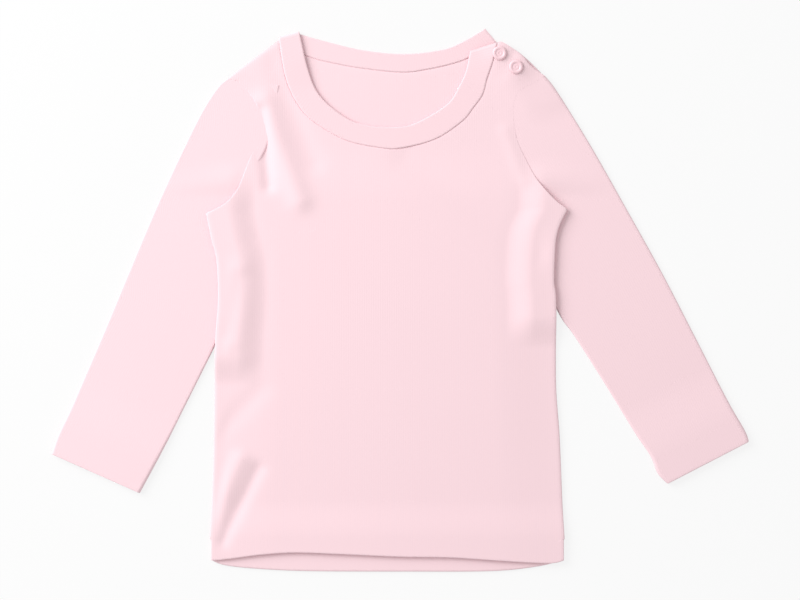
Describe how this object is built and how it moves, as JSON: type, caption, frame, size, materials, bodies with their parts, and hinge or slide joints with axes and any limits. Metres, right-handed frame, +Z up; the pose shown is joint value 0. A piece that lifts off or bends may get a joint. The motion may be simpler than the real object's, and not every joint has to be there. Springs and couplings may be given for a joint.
{
  "type": "baby long-sleeve top",
  "caption": "Plain long-sleeve top for a baby, laid flat, with a folded neckband and a snap opening along one shoulder",
  "frame": {"origin": "the middle of the garment's box in plan, on the surface that it lies on", "axes": "+Z is up, out of the surface; +Y runs from the hem towards the neck; +X runs to the wearer's left sleeve"},
  "size_m": [0.488, 0.38, 0.0075],
  "materials": {
    "jersey": "smooth pale pink cotton jersey, matte",
    "band_jersey": "the same cotton jersey, folded double for the neckband",
    "snap": "pale pink moulded snap, satin"
  },
  "bodies": {
    "root": {"front_body": "jersey", "back_body": "jersey", "right_sleeve": "jersey", "left_sleeve": "jersey", "neckband": "band_jersey", "shoulder_underlap": "jersey", "neck_snap_cap": "snap", "neck_snap_stud": "snap", "shoulder_snap_cap": "snap", "shoulder_snap_stud": "snap"}
  },
  "joints": []
}
